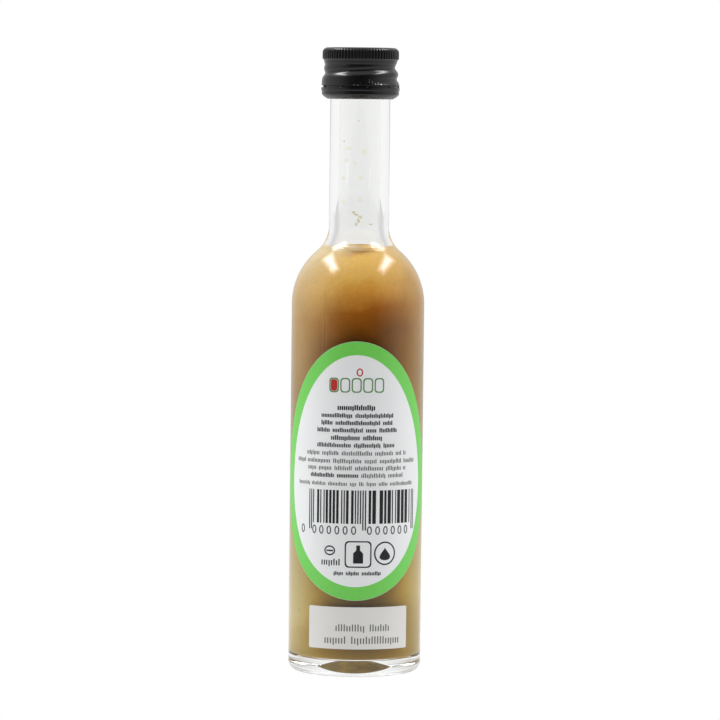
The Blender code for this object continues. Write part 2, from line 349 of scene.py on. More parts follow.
def glass_material():
    """Clear glass with a faint ripple, which some kinds of ray pass unbent."""
    made, tree, shader, place = new_material("clear_glass")
    ripple = bumped(tree, use(tree, uneven, place, Scale=55.0), 0.05, 0.0001)
    fill(tree, shader, {
        "Base Color": (0.940, 0.946, 0.939, 1.0), "Roughness": 0.0, "IOR": GLASS_IOR,
        "Transmission Weight": 1.0, "Normal": ripple,
    })
    rays = put(tree, "ShaderNodeLightPath").outputs
    passing = maths(tree, "MAXIMUM", rays["Is Shadow Ray"], rays["Is Diffuse Ray"])
    passing = maths(tree, "MAXIMUM", passing, maths(tree, "GREATER_THAN", rays["Ray Depth"], CAUGHT_AFTER))
    clear = put(tree, "ShaderNodeBsdfTransparent", {"Color": (0.96, 0.975, 0.965, 1.0)})
    mix_surface(tree, passing, shader, clear)
    return made


glass = add_piece("bottle_glass", *seamed(glass_outline(), 192), glass_material(), "clear_glass")
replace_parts(glass, "glass")

# %% [markdown]
# ## Sauce
#
# The sauce wets the glass, so no air shows between them. Its piece reaches a hair into the wall, and light
# that enters the glass lands on the sauce at once. Its top is flat in the middle and climbs the wall at the
# rim.
#
# Cloudy sauce glows where light comes through from behind and turns dark brown where the labels shut the
# light out. That light and shade is painted with three ramps over the height: for the front and back, for
# the open sides, and for what lies between. They are blended by the angle round the axis, and the whole
# tilts a little, so that the painted dark part reaches higher on the right. Pulp and herbs are specks of
# other colours, and the underside is darker, in streaks.
#
# Sauce bends light less than glass does, so light that comes through the glass at a shallow slant is thrown
# back by the sauce as by a mirror. A Fresnel share with the ratio of the two does that, and it clears the
# thick base.

# %% Sauce sizes and outline
SAUCE_LEVEL = 98.1 * MM
MENISCUS_RISE, MENISCUS_WIDTH = 0.9 * MM, 3.2 * MM
INTO_WALL = 0.05 * MM


def sauce_outline():
    """From the middle of the floor up the wall, then along the rim, z = level + rise * (1 - s) ** 3."""
    room = inside_outline(-INTO_WALL)[::-1]
    edge_height = SAUCE_LEVEL + MENISCUS_RISE
    wall = room[room[:, 1] < edge_height - 0.1 * MM]
    climb = room[room[:, 1] > wall[-1, 1] - 0.1 * MM]
    edge_radius = np.interp(edge_height, climb[:, 1], climb[:, 0])
    share = np.linspace(0, 1, 20)
    rim = [edge_radius - MENISCUS_WIDTH * share, SAUCE_LEVEL + MENISCUS_RISE * (1 - share) ** 3]
    return np.concatenate([wall, np.column_stack(rim), [(0.0, SAUCE_LEVEL)]])


# %% Sauce colours
# Painted light and shade of the sauce, as heights in mm and screen colours: the front and back, the zones
# between, and the open sides
MIDDLE_COLOURS = [
    (3.5, (126, 96, 26)), (12.5, (122, 90, 24)), (48.0, (92, 58, 12)), (78.8, (114, 64, 4)),
    (84.7, (166, 92, 16)), (89.2, (224, 156, 64)), (91.8, (232, 179, 86)), (97.0, (234, 184, 88)),
    (98.0, (206, 156, 86)), (99.0, (210, 180, 130)),
]
BETWEEN_COLOURS = [
    (3.5, (160, 123, 40)), (12.5, (160, 130, 54)), (16.3, (186, 148, 58)), (78.8, (143, 95, 40)),
    (84.7, (172, 117, 49)), (91.8, (226, 177, 96)), (97.0, (230, 192, 124)), (99.0, (222, 192, 142)),
]
SIDE_COLOURS = [
    (3.5, (165, 143, 74)), (12.5, (187, 160, 92)), (16.3, (198, 179, 117)), (48.0, (172, 143, 82)),
    (68.0, (165, 133, 84)), (84.7, (188, 147, 87)), (94.6, (211, 175, 116)), (99.0, (228, 202, 154)),
]
COLOUR_TOP = 100.0
# Painted shade: the darkest line lies a little to the right, and the dark part reaches higher on that side
DARK_OFFSET, SIDE_POWER = 0.15, 2.0
LEFT_RIGHT_MEAN, LEFT_RIGHT_LEAN = 1.1, -0.2
HEIGHT_TILT = 0.03
# Painted shade: under the level the near and far sides carry a darker line
RIM_SHADE_HEIGHT, RIM_SHADE_WIDTH, RIM_SHADE = 97.95 * MM, 0.4 * MM, 0.55
# Darker streaks on the underside, as far out as the start of the rounded corner
DARK_UNDERSIDE_TOP, DARK_UNDERSIDE_FULL, DARK_UNDERSIDE_END, DARK_UNDERSIDE_SHARE = 6 * MM, 10.3 * MM, 11.8 * MM, 0.95


def light_and_dark(tree, place, axes, reach):
    """The three ramps, blended by |x / r - offset| ** power, and that share of the open side."""
    times, minus = partial(maths, tree, "MULTIPLY"), partial(maths, tree, "SUBTRACT")
    turned_away = maths(tree, "DIVIDE", axes[0], reach)
    drift = use(tree, uneven, place, Scale=130.0, Low=-0.012, High=0.012)
    height = maths(tree, "ADD", maths(tree, "DIVIDE", axes[2], COLOUR_TOP * MM), drift)
    height = minus(height, times(turned_away, HEIGHT_TILT))
    across = minus(turned_away, DARK_OFFSET)
    lean = minus(LEFT_RIGHT_MEAN, times(across, LEFT_RIGHT_LEAN))
    side = times(maths(tree, "POWER", maths(tree, "ABSOLUTE", across), SIDE_POWER), lean, True)
    middle, between, open_side = [
        ramp(tree, height, [(z / COLOUR_TOP, srgb(*colour)) for z, colour in stops])
        for stops in (MIDDLE_COLOURS, BETWEEN_COLOURS, SIDE_COLOURS)
    ]
    colour = blend_colour(tree, times(side, 2.0, True), middle, between)
    return blend_colour(tree, maths(tree, "MULTIPLY_ADD", side, 2.0, True, -1.0), colour, open_side), side


def with_pulp(tree, place, colour):
    """Fine grain, pale specks of pulp and darker specks of herbs over a colour."""
    grain = use(tree, uneven, place, Scale=1500.0, Low=0.95, High=1.05)
    colour = blend_colour(tree, 1.0, colour, grain, "MULTIPLY")
    pale = maths(tree, "MULTIPLY", use(tree, specks, place, Scale=620.0, Size=0.22, Share=0.12), 0.07)
    colour = blend_colour(tree, pale, colour, srgb(226, 180, 110))
    herbs = maths(tree, "MULTIPLY", use(tree, specks, place, Scale=330.0, Size=0.1, Share=0.12), 0.3)
    return blend_colour(tree, herbs, colour, srgb(90, 70, 28))


def rim_and_floor(tree, place, axes, reach, side, colour):
    """The painted darker line of shade under the level and the darker streaks on the underside, over a
    colour.
    """
    times, minus = partial(maths, tree, "MULTIPLY"), partial(maths, tree, "SUBTRACT")
    from_line = maths(tree, "ABSOLUTE", minus(axes[2], RIM_SHADE_HEIGHT))
    shade = fit_range(tree, from_line, 0.0, RIM_SHADE_WIDTH, RIM_SHADE, 0.0)
    shade = times(shade, minus(1.0, times(side, 3.0), True))
    colour = blend_colour(tree, shade, colour, srgb(140, 88, 36))
    dark_underside = fit_range(tree, reach, DARK_UNDERSIDE_FULL, DARK_UNDERSIDE_END, DARK_UNDERSIDE_SHARE, 0.0)
    dark_underside = times(dark_underside, maths(tree, "LESS_THAN", axes[2], DARK_UNDERSIDE_TOP))
    streaks = use(tree, uneven, place, Scale=330.0)
    streaks = blend_colour(tree, streaks, srgb(70, 56, 26), srgb(146, 120, 64))
    return blend_colour(tree, dark_underside, colour, streaks)

# %% Sauce material and piece
SAUCE_IOR = 1.37


def sauce_material():
    """The painted colour under a mirror whose strength depends on what the sauce lies against."""
    made, tree, shader, place = new_material("chilli_sauce")
    axes = put(tree, "ShaderNodeSeparateXYZ", {0: place}).outputs
    squares = [maths(tree, "POWER", axis, 2) for axis in (axes[0], axes[1])]
    reach = maths(tree, "SQRT", maths(tree, "ADD", *squares))
    colour, side = light_and_dark(tree, place, axes, reach)
    colour = rim_and_floor(tree, place, axes, reach, side, with_pulp(tree, place, colour))
    fill(tree, shader, {"Base Color": colour, "Roughness": 0.5, "Specular IOR Level": 0.0})
    against = fit_range(tree, axes[2], SAUCE_LEVEL - MM, SAUCE_LEVEL, SAUCE_IOR / GLASS_IOR, SAUCE_IOR)
    share = put(tree, "ShaderNodeFresnel", {0: against}).outputs[0]
    mirror = put(tree, "ShaderNodeBsdfGlossy", {"Color": grey(1.0), "Roughness": 0.03})
    mix_surface(tree, share, shader, mirror)
    return made


sauce = add_piece("sauce_body", *turned(sauce_outline(), 144), sauce_material(), "chilli_sauce")
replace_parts(sauce, "sauce")

# %% [markdown]
# ## Pulp in the neck
#
# Shaking has left a few flecks of pulp on the inside of the neck. Each is a small flattened pebble: a ball
# whose radius is unsettled by a few waves, squashed against the wall. All of them are worked out together
# as one array.

# %% Flecks
# Angle from the middle of the near side in degrees, height, width and tallness in mm
YELLOW_FLECKS = [
    (-27, 122.5, 0.85, 0.45), (10, 121.8, 0.6, 0.65), (-34.5, 119.7, 0.5, 0.5), (-11.5, 119.2, 0.3, 0.5),
    (-43.5, 115.5, 0.3, 0.5), (4, 115.7, 0.5, 0.4), (-43, 110.1, 0.3, 0.6), (-24, 110.8, 0.25, 0.12),
    (3, 110.6, 0.4, 0.5),
]
BROWN_FLECKS = [
    (-13.5, 107.7, 0.45, 0.28), (-7.0, 107.2, 0.4, 0.3), (2.8, 106.6, 0.42, 0.45), (-1.0, 105.8, 0.36, 0.55),
    (-7.0, 105.0, 0.36, 0.42), (31, 104.9, 0.4, 0.25), (-3.5, 129.0, 0.18, 0.18), (-42, 124.1, 0.2, 0.16),
]
FLECK_DEPTH = 0.12 * MM


def flecks(rows, columns, table, seed):
    """Balls with radius 1 + waves, scaled along the wall's tangent, height and normal, on the inner wall."""
    draw = np.random.default_rng(seed)
    table = np.array(table)
    count = len(table)
    tilt = np.linspace(0, pi, rows + 2)[1:-1][None, :, None]
    turn = full_turn(columns)[None, None, :]
    phase = draw.uniform(0, 2 * pi, (3, count, 1, 1))
    lump = 1 + 0.25 * np.sin(2 * turn + phase[0]) * np.sin(tilt)
    lump = lump + 0.18 * np.sin(3 * turn + 2 * tilt + phase[1])
    ball = [lump * np.sin(tilt) * np.cos(turn), lump * np.sin(tilt) * np.sin(turn), np.cos(tilt) + 0 * lump]
    ends = np.zeros((count, 2, 3))
    ends[:, 0, 2], ends[:, 1, 2] = 1.0, -1.0
    local = np.concatenate([np.stack(ball, axis=-1).reshape(count, -1, 3), ends], axis=1)
    local *= np.stack([table[:, 2] * MM, np.full(count, FLECK_DEPTH), table[:, 3] * MM], axis=-1)[:, None, :]
    facing = BACK + np.radians(table[:, 0])
    wall = inside_outline(0)[: len(side_outline(0)) + 1]
    height = table[:, 1] * MM
    radius = np.interp(height, wall[::-1, 1], wall[::-1, 0]) - 0.5 * FLECK_DEPTH
    tangent = np.stack([-np.sin(facing), np.cos(facing), 0 * facing], axis=-1)[:, None, :]
    normal = np.stack([np.cos(facing), np.sin(facing), 0 * facing], axis=-1)[:, None, :]
    upright = np.array([0.0, 0.0, 1.0])
    centre = normal * radius[:, None, None] + upright * height[:, None, None]
    points = centre + local[..., :1] * tangent + local[..., 1:2] * normal + local[..., 2:] * upright
    step = (np.arange(count) * points.shape[1])[:, None, None]
    faces = [(block + step).reshape(-1, block.shape[1]) for block in shell_faces(rows, columns)]
    return points.reshape(-1, 3), faces


def pulp_material(name, thin, thick):
    """Wet pulp lets most light through: the thin and thick colours are what is left of white light."""
    made, tree, shader, place = new_material(name)
    colour = blend_colour(tree, use(tree, uneven, place, Scale=1300.0), thin, thick)
    fill(tree, shader, {"Base Color": colour, "Roughness": 0.2, "IOR": 1.03, "Transmission Weight": 1.0})
    return made


yellow_pulp = pulp_material("yellow_pulp", (0.99, 0.97, 0.90, 1.0), (0.98, 0.94, 0.76, 1.0))
brown_pulp = pulp_material("brown_pulp", (0.92, 0.88, 0.66, 1.0), (0.70, 0.63, 0.46, 1.0))
add_piece("neck_pulp_yellow", *flecks(6, 12, YELLOW_FLECKS, 5), yellow_pulp, "chilli_sauce")
add_piece("neck_pulp_brown", *flecks(6, 12, BROWN_FLECKS, 9), brown_pulp, "chilli_sauce")

# %% [markdown]
# ## Cap
#
# A roll-on cap starts as a plain aluminium cup. Rollers press it onto the glass: they leave the thread, the
# slit with its thin bridges that tear on opening, and the band's rolled-in foot. The shell here is a turned
# profile whose radius is then changed by three formulas of angle and height: the knurl's ribs, the thread's
# groove and the slit.

# %% Cap sizes, with heights above its foot
CAP_FOOT, CAP_HEIGHT = 134.0 * MM, 12.0 * MM
CAP_BORE, CAP_CEILING = 7.35 * MM, 11.2 * MM
TOP_ROUND = 1.2 * MM
RIB_COUNT, RIB_DEPTH, RIB_POWER = 72, 0.24 * MM, 2.5
RIB_LOW, RIB_HIGH, RIB_END = 9.3 * MM, 11.15 * MM, 11.7 * MM
WAIST, WAIST_LOW = 8.4 * MM, 7.9 * MM
SKIRT, SKIRT_LOW = 9.05 * MM, 3.45 * MM
OUTER_FROM = 8.2 * MM
SLIT_HEIGHT, SLIT_HALF, SLIT_DEPTH = 2.95 * MM, 0.2 * MM, 0.3 * MM
BRIDGE_COUNT, BRIDGE_FROM, BRIDGE_TO = 9, radians(0.6), radians(1.5)
BAND_WOBBLE = 0.02 * MM
THREAD_PITCH, THREAD_DEPTH, THREAD_HALF_WIDTH = 2.58 * MM, 0.52 * MM, 0.72 * MM
THREAD_AT_X = 7.25 * MM
THREAD_FIRST, THREAD_LAST, THREAD_FADE = radians(75), radians(-440), radians(50)
CAP_COLUMNS = 8 * RIB_COUNT

# %% Cap surface
def cap_profile():
    """Up the bore's wall from the ceiling, round the foot, over the band and the skirt, and to the top."""
    bore = [(0.0, CAP_CEILING), (CAP_BORE, CAP_CEILING), (CAP_BORE, 0.1 * MM)]
    band = [
        (7.45, 0.0), (7.8, 0.12), (8.1, 0.3), (8.4, 0.52), (8.66, 0.74), (8.85, 0.92), (8.95, 1.04),
        (9.0, 1.15), (9.01, 1.25), (9.01, 1.45), (9.01, 1.65), (9.01, 1.82), (9.03, 1.93), (9.08, 2.03),
        (9.13, 2.12), (9.15, 2.22), (9.15, 2.5), (9.1, 2.68),
    ]
    slit = np.column_stack([np.full(4, 9.05), np.linspace(2.76, 3.06, 4)])
    lip = np.array([(9.05, 3.17), (9.09, 3.22), (9.09, 3.29), (9.07, 3.37)])
    share = np.linspace(1, 0, 60)
    skirt = [WAIST + (SKIRT - WAIST) * np.sin(share * pi / 2), WAIST_LOW + (SKIRT_LOW - WAIST_LOW) * share]
    collar = [
        (8.34, 7.98), (8.36, 8.1), (8.42, 8.2), (8.5, 8.6), (8.6, 9.0), (8.68, 9.2), (8.88, 9.3), (8.92, 9.4),
    ]
    ribs = np.column_stack([np.full(8, 8.93), np.linspace(9.5, 10.75, 8)])
    top = arc((8.93 * MM - TOP_ROUND, CAP_HEIGHT - TOP_ROUND), TOP_ROUND, 6, 90, 12)
    lower = [np.array(bore), np.array(band) * MM, slit * MM, lip * MM, np.column_stack(skirt)]
    upper = [np.array(collar) * MM, ribs * MM, top, [(3.5 * MM, CAP_HEIGHT), (0.0, CAP_HEIGHT)]]
    return np.concatenate(lower + upper)


def smooth_step(value, low, high):
    """0 below low, 1 above high and t * t * (3 - 2 t) between."""
    t = np.clip((value - low) / (high - low), 0, 1)
    return t * t * (3 - 2 * t)


def thread_groove(angle, height):
    """Depth * fade * exp(-((height - centre) / half width) ** 2), the centre a pitch lower each turn."""
    deepest = 0 * (angle + height)
    for turn in range(3):
        along = angle - 2 * pi * turn
        centre = THREAD_AT_X + THREAD_PITCH * along / (2 * pi)
        fade = np.clip(np.minimum(THREAD_FIRST - along, along - THREAD_LAST) / THREAD_FADE, 0, 1)
        depth = THREAD_DEPTH * fade * np.exp(-(((height - centre) / THREAD_HALF_WIDTH) ** 2))
        deepest = np.maximum(deepest, depth)
    return deepest


def cap_rings():
    """The turned profile with its radius made smaller by the ribs, the thread and the slit."""
    profile = cap_profile()[1:-1]
    angle = full_turn(CAP_COLUMNS)
    r, z = profile[:, :1], profile[:, 1:]
    outside = r > OUTER_FROM
    rib_zone = smooth_step(z, RIB_LOW - 0.08 * MM, RIB_LOW + 0.1 * MM)
    rib_zone = rib_zone * (1 - smooth_step(z, RIB_HIGH, RIB_END))
    sink = RIB_DEPTH * rib_zone * (0.5 - 0.5 * np.cos(RIB_COUNT * angle)) ** RIB_POWER
    threaded = outside * (z > SKIRT_LOW) * (z < RIB_LOW)
    sink = sink + threaded * thread_groove(angle, z)
    beside = np.abs(np.angle(np.exp(1j * BRIDGE_COUNT * angle))) / BRIDGE_COUNT
    open_slit = smooth_step(beside, BRIDGE_FROM, BRIDGE_TO)
    sink = sink + SLIT_DEPTH * open_slit * outside * (np.abs(z - SLIT_HEIGHT) < 1.05 * SLIT_HALF)
    wobble = BAND_WOBBLE * np.sin(2 * angle + 0.7) * outside * (z < SLIT_HEIGHT)
    radius = r - sink + wobble
    places = [radius * np.cos(angle), radius * np.sin(angle), CAP_FOOT + z + 0 * angle]
    return np.stack(places, axis=-1), angle, z

# %% Black lacquer
def lacquer_material():
    """Gloss black, uneven in tone and sheen, with bare metal where the wear attribute and noise add up."""
    made, tree, shader, place = new_material("black_lacquer")
    wear = put(tree, "ShaderNodeAttribute", attribute_name="wear").outputs["Fac"]
    broken = use(tree, uneven, place, Scale=2600.0, Low=-0.35, High=0.45)
    bare = fit_range(tree, maths(tree, "ADD", wear, broken), 0.62, 0.78)
    film = use(tree, uneven, place, Scale=320.0)
    black = blend_colour(tree, film, (0.0028, 0.0028, 0.0031, 1.0), (0.0055, 0.0055, 0.0062, 1.0))
    fill(tree, shader, {
        "Base Color": blend_colour(tree, bare, black, grey(0.30)), "Metallic": bare,
        "Specular IOR Level": 0.5,
        "Roughness": use(tree, uneven, place, Scale=700.0, Low=0.17, High=0.27),
        "Normal": bumped(tree, use(tree, uneven, place, Scale=1500.0), 0.05, 0.00004),
    })
    return made

# %% Cap piece with its chips
# Angle from the middle of the near side in degrees, height above the foot, half width and half height in mm
CHIPS = [
    (-9.5, 3.35, 0.3, 0.22), (-4.0, 3.3, 0.28, 0.2), (-0.5, 3.6, 0.16, 0.25), (13.0, 4.2, 0.16, 0.5),
    (18.0, 3.9, 0.16, 0.5), (22.5, 3.6, 0.2, 0.35), (27.5, 3.7, 0.16, 0.3), (32.0, 3.55, 0.2, 0.25),
]


def chip_mask(angle, z):
    """The largest over all chips of exp(-(across / width) ** 2 - (up / height) ** 2) at each point."""
    worn = 0 * (angle + z)
    for middle, height, wide, tall in CHIPS:
        turn = np.angle(np.exp(1j * (angle - BACK - radians(middle))))
        across = SKIRT * turn / (wide * MM)
        worn = np.maximum(worn, np.exp(-(across**2) - ((z - height * MM) / (tall * MM)) ** 2))
    return worn


rings, cap_angle, cap_z = cap_rings()
cap_shape = close_ends(rings, (CAP_FOOT + CAP_CEILING, CAP_FOOT + CAP_HEIGHT))
cap = add_piece("cap_shell", *cap_shape, lacquer_material(), "black_lacquer")
worn = np.concatenate([chip_mask(cap_angle, cap_z).ravel(), [0.0, 0.0]])
cap.data.attributes.new("wear", "FLOAT", "POINT").data.foreach_set("value", worn.astype(np.float32))
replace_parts(cap, "cap")
print(f"cap shell: {rings.shape[0]} rings of {rings.shape[1]} points")

# %% [markdown]
# ## Paper laid round the glass
#
# A label is flat paper bent one way, so its places are kept in two flat numbers, how far across and how
# high. The angle on the bottle is the distance across divided by the radius. Every sheet, and every patch
# of ink on it, is a thin closed shell between two outlines.

# %% Sheets on the wall
# Inner and outer radius of the paper, of the ink on it, and of ink that lies on other ink
PAPER = (15.52 * MM, 15.64 * MM)
INK = (15.62 * MM, 15.655 * MM)
INK_OVER = (15.64 * MM, 15.67 * MM)
# A full sheet's smallest ring has this share of its size
CORE_SHARE = 0.04


def on_wall(across, height, radius, facing):
    """The point (radius cos a, radius sin a, height) with the angle a = facing + across / body radius."""
    angle = facing + across / BODY_RADIUS
    return np.stack([radius * np.cos(angle), radius * np.sin(angle), height + 0 * angle], axis=-1)


def two_sides(flat, facing, layer):
    """A grid of flat places as points on a layer's outer side, then on its inner side, and their number."""
    low, high = layer
    sides = [on_wall(flat[..., 0], flat[..., 1], radius, facing).reshape(-1, 3) for radius in (high, low)]
    return np.concatenate(sides), len(sides[0])


def sheet_between(inner, outer, steps, facing=BACK, layer=INK):
    """Rows of places inner + (outer - inner) * k / steps on both sides, joined along both outlines.

    An inner outline that is one place, repeated, makes a full sheet, its smallest ring shut by a flat face.
    """
    full = np.ptp(inner, axis=0).max() < 1e-9
    share = np.linspace(CORE_SHARE if full else 0.0, 1.0, steps + 1)[:, None, None]
    flat = (inner + (outer - inner) * share) * MM
    rows, columns = flat.shape[:2]
    points, count = two_sides(flat, facing, layer)
    here = np.arange(columns)
    ahead = (here + 1) % columns
    edge = (rows - 1) * columns
    faces = [grid_faces(rows, columns, wrap=True), grid_faces(rows, columns, wrap=True, first=count)[:, ::-1]]
    faces.append(np.column_stack([edge + here, edge + ahead, count + edge + ahead, count + edge + here]))
    if full:
        faces += [here[None, ::-1], count + here[None, :]]
    else:
        faces.append(np.column_stack([here, count + here, count + ahead, ahead]))
    return points, faces


def patch(left, right, steps, facing=BACK):
    """Ink in rows of places left + (right - left) * k / steps, joined along all four edges."""
    share = np.linspace(0, 1, steps + 1)[None, :, None]
    flat = (left[:, None, :] + (right - left)[:, None, :] * share) * MM
    rows, columns = flat.shape[:2]
    points, count = two_sides(flat, facing, INK)
    index = np.arange(count).reshape(rows, columns)
    rim = np.concatenate([index[0, :-1], index[:-1, -1], index[-1, :0:-1], index[:0:-1, 0]])
    ahead = np.roll(rim, -1)
    faces = [grid_faces(rows, columns), grid_faces(rows, columns, first=count)[:, ::-1]]
    return points, faces + [np.column_stack([rim, count + rim, count + ahead, ahead])]


def boxes_on_wall(boxes, facing=BACK):
    """Many small flat boxes (x0, x1, z0, z1) in mm as thin blocks of ink, wide ones cut into 1 mm lengths."""
    boxes = np.asarray(boxes, dtype=float)
    pieces = np.maximum(1, np.ceil(boxes[:, 1] - boxes[:, 0])).astype(int)
    which = np.repeat(np.arange(len(boxes)), pieces)
    rank = np.arange(len(which)) - np.repeat(np.cumsum(pieces) - pieces, pieces)
    width = ((boxes[:, 1] - boxes[:, 0]) / pieces)[which]
    x0 = boxes[which, 0] + rank * width
    across = np.stack([x0, x0 + width], axis=-1)[:, [0, 1, 1, 0, 0, 1, 1, 0]] * MM
    height = boxes[which][:, [2, 2, 3, 3, 2, 2, 3, 3]] * MM
    radius = np.repeat(INK[::-1], 4)
    points = on_wall(across, height, radius, facing).reshape(-1, 3)
    corners = [(0, 1, 2, 3), (7, 6, 5, 4), (0, 4, 5, 1), (1, 5, 6, 2), (2, 6, 7, 3), (3, 7, 4, 0)]
    step = (8 * np.arange(len(which)))[:, None, None]
    return points, [(np.array(corners) + step).reshape(-1, 4)]


def joined(*parts):
    """Several point and face sets as one, with the face numbers moved on by the points before them."""
    points, faces, count = [], [], 0
    for some_points, some_faces in parts:
        points.append(some_points)
        faces += [block + count for block in some_faces]
        count += len(some_points)
    return np.concatenate(points), faces

# %% Outlines of labels and marks
OVAL_MIDDLE, OVAL_HALF_HEIGHT, OVAL_HALF_WIDTH = 48.1, 30.05, 21.3
OVAL_LEAN, OVAL_PINCH, OVAL_FLARE = 2.4, 1.5, 1.1
BORDER, BORDER_EDGE = 3.15, 0.04


def egg(border=0.0, points=160):
    """Height share s = sin t, half width sqrt(1 - s s) * (width - lean s - pinch s s + flare s s s)."""
    t = full_turn(points)
    s = np.sin(t)
    half = OVAL_HALF_WIDTH - OVAL_LEAN * s - OVAL_PINCH * s**2 + OVAL_FLARE * s**3
    shrink = 1 - border / half
    return np.column_stack([half * shrink * np.cos(t), OVAL_MIDDLE + (OVAL_HALF_HEIGHT - border) * s])


def ellipse(middle, half_width, half_height, points=32):
    """The middle plus (half width * cos t, half height * sin t)."""
    t = full_turn(points)
    return np.column_stack([middle[0] + half_width * np.cos(t), middle[1] + half_height * np.sin(t)])


def rounded_box(middle, half_width, half_height, corner, points=64):
    """A box with quarter circles at its corners, read off at equal steps of the distance round it."""
    quarter = np.linspace(0, pi / 2, 7)
    turn = np.concatenate([quarter + k * pi / 2 for k in range(4)])
    to_right, to_top = np.repeat([1, -1, -1, 1], 7), np.repeat([1, 1, -1, -1], 7)
    x = to_right * (half_width - corner) + corner * np.cos(turn)
    z = to_top * (half_height - corner) + corner * np.sin(turn)
    x, z = np.append(x, x[0]), np.append(z, z[0])
    distance = np.concatenate([[0], np.cumsum(np.hypot(np.diff(x), np.diff(z)))])
    steps = np.arange(points) * distance[-1] / points
    return middle + np.column_stack([np.interp(steps, distance, x), np.interp(steps, distance, z)])


def shrunk(outline, by):
    """An outline drawn in towards its middle by a width."""
    middle = (outline.max(axis=0) + outline.min(axis=0)) / 2
    half = (outline.max(axis=0) - outline.min(axis=0)) / 2
    return middle + (outline - middle) * (1 - by / half)


def ring(outline, width, facing=BACK, steps=2):
    """A line of ink of a given width along the inside of an outline."""
    return sheet_between(shrunk(outline, width), outline, steps, facing)


def filled(outline, steps, facing=BACK, layer=INK):
    """A full sheet inside an outline, spread from the outline's middle."""
    centre = np.repeat(outline.mean(axis=0)[None, :], len(outline), axis=0)
    return sheet_between(centre, outline, steps, facing, layer)

# %% Paper and ink
def paper_material(name, white, shade):
    """White paper with a slightly uneven tone, a little dust and fine fibres."""
    made, tree, shader, place = new_material(name)
    white = blend_colour(tree, use(tree, uneven, place, Scale=90.0), shade, white)
    dust = use(tree, specks, place, Scale=1100.0, Size=0.12, Share=0.02)
    fill(tree, shader, {
        "Base Color": blend_colour(tree, dust, white, (0.66, 0.65, 0.62, 1.0)), "Specular IOR Level": 0.7,
        "Roughness": use(tree, uneven, place, Scale=600.0, Low=0.36, High=0.5),
        "Normal": bumped(tree, use(tree, uneven, place, Scale=4200.0), 0.15, 0.00002),
    })
    return made


def ink_material(name, colour, thin, specular):
    """Printed ink: the colour, and a slightly thinner one where the paper took less of it."""
    made, tree, shader, place = new_material(name)
    take = use(tree, uneven, place, Scale=1300.0)
    fill(tree, shader, {
        "Base Color": blend_colour(tree, take, colour, thin), "Specular IOR Level": specular,
        "Roughness": use(tree, uneven, place, Scale=500.0, Low=0.34, High=0.46),
    })
    return made


paper = paper_material("label_paper", (0.935, 0.950, 0.955, 1.0), (0.910, 0.925, 0.930, 1.0))
sticker_paper = paper_material("sticker_paper", (0.830, 0.815, 0.785, 1.0), (0.800, 0.788, 0.760, 1.0))
green_ink = ink_material("green_ink", (0.152, 0.680, 0.073, 1.0), (0.166, 0.705, 0.083, 1.0), 0.9)
dark_green_ink = ink_material("dark_green_ink", (0.075, 0.230, 0.045, 1.0), (0.100, 0.270, 0.060, 1.0), 0.5)
black_ink = ink_material("black_ink", (0.010, 0.009, 0.012, 1.0), (0.020, 0.019, 0.023, 1.0), 0.35)
grey_ink = ink_material("grey_ink", (0.115, 0.115, 0.110, 1.0), (0.160, 0.160, 0.155, 1.0), 0.35)
red_ink = ink_material("red_ink", (0.52, 0.018, 0.012, 1.0), (0.56, 0.024, 0.018, 1.0), 0.5)

# %% Back label sheet and border
def oval_label(name, node, facing):
    """The egg-shaped paper and, on it, the printed green border between the egg and a smaller egg."""
    sheet = filled(egg(), 26, facing, PAPER)
    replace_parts(add_piece(name + "_paper", *sheet, paper, "label_paper"), node)
    border = sheet_between(egg(BORDER), egg(BORDER_EDGE), 3, facing)
    add_piece(name + "_border", *border, green_ink, "label_paper")


oval_label("back_label", "back_label", BACK)

# %% [markdown]
# ## Print without words
#
# The label carries no words. Each line of print is a row of upright strokes in groups as long as words,
# some taller and some shorter, so that it reads as small print from a step away and as plain strokes close
# by. A seeded draw gives the same strokes on every run.

# %% Lines of strokes
def stroke_line(draw, x0, x1, z0, z1, weight):
    """Strokes from x0 to x1: groups of 3 to 9 letters' places, each place one or two strokes."""
    boxes, x = [], x0
    tall = z1 - z0
    pitch = 0.36 * tall + 0.06
    left = draw.integers(3, 10)
    while x < x1 - 0.5 * pitch:
        if left == 0:
            x += 1.5 * pitch
            left = draw.integers(3, 10)
            continue
        kind = draw.random()
        top = z1 if kind < 0.3 else z1 - 0.24 * tall
        foot = z0 - 0.18 * tall if kind > 0.92 else z0
        boxes.append((x, x + weight * pitch, foot, top))
        x += pitch
        left -= 1 if draw.random() < 0.5 else 0
    return boxes


# Each line's span across, foot and top in mm, and the share of each stroke's place that is ink
BACK_LINES = [
    (-4.5, 4.8, 62.25, 63.45, 0.72), (-8.5, 8.9, 60.5, 61.5, 0.7), (-8.5, 8.9, 58.8, 59.8, 0.7),
    (-9.6, 10.1, 57.1, 58.1, 0.7), (-6.0, 6.3, 55.3, 56.4, 0.7), (-9.6, 9.6, 53.6, 54.6, 0.66),
    (-12.6, 13.0, 51.75, 52.75, 0.5), (-15.9, 16.4, 49.95, 50.95, 0.5), (-12.2, 12.7, 48.3, 49.3, 0.5),
    (-11.4, 0.4, 46.6, 47.6, 0.7), (1.2, 11.9, 46.6, 47.6, 0.5), (-15.4, 15.7, 44.7, 45.6, 0.5),
    (-8.1, -3.4, 26.2, 27.7, 0.5), (-5.0, 6.2, 23.95, 24.85, 0.68),
]
draw = np.random.default_rng(41)
strokes = sum([stroke_line(draw, *line) for line in BACK_LINES], [])
print(f"{len(strokes)} strokes of small print on the back label")

# %% Bars and their row of plain ovals
BARS_LEFT, BARS_RIGHT = -11.8, 15.7
BARS_LOW, BARS_HIGH, GUARD_LOW = 35.9, 43.65, 34.4
BAR_MODULES = 95


